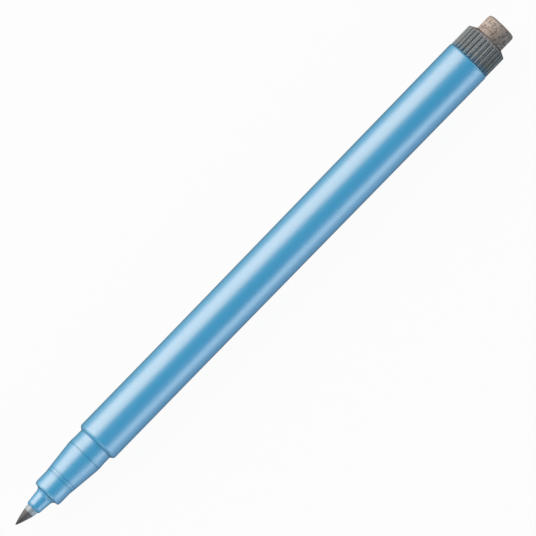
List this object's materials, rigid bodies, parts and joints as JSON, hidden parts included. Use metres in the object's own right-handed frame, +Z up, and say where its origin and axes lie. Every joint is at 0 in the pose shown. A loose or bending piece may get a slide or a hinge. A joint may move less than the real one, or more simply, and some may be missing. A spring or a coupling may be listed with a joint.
{
  "type": "erasable marker",
  "caption": "Slim fibre-tip erasable marker, uncapped: light blue barrel, stepped front section with a snap seat for a cap, fluted end plug and a felt eraser in the rear end.",
  "frame": {"origin": "on the table, under the middle of the marker's length and its axis", "axes": "+X along the marker from its writing point towards its eraser, +Z up from the table that it lies on"},
  "size_m": [0.1294, 0.0092, 0.0091],
  "materials": {
    "blue_shell": "satin light blue moulded plastic",
    "blue_section": "satin light blue moulded plastic",
    "clear_sleeve": "translucent extruded plastic",
    "nib_fibre": "bonded fibre soaked with dark ink",
    "ink_fibre": "loose fibre bundle soaked with ink",
    "wrap_film": "thin white plastic film",
    "grey_plug": "matte dark grey moulded plastic",
    "eraser_felt": "pressed felt, speckled brown and grey"
  },
  "bodies": {
    "barrel": {"barrel": "blue_shell", "front_section": "blue_section", "nib_sleeve": "clear_sleeve", "ink_reservoir": "ink_fibre", "reservoir_film": "wrap_film"},
    "nib": {"nib": "nib_fibre"},
    "end_plug": {"end_plug": "grey_plug"},
    "eraser": {"eraser": "eraser_felt"}
  },
  "joints": [
    {"name": "nib_pull", "type": "slide", "parent": "barrel", "child": "nib", "axis": [-1, 0, 0], "range_m": [0, 0.034]},
    {"name": "plug_pull", "type": "slide", "parent": "barrel", "child": "end_plug", "axis": [1, 0, 0], "range_m": [0, 0.012]},
    {"name": "eraser_pull", "type": "slide", "parent": "end_plug", "child": "eraser", "axis": [1, 0, 0], "range_m": [0, 0.008]}
  ]
}
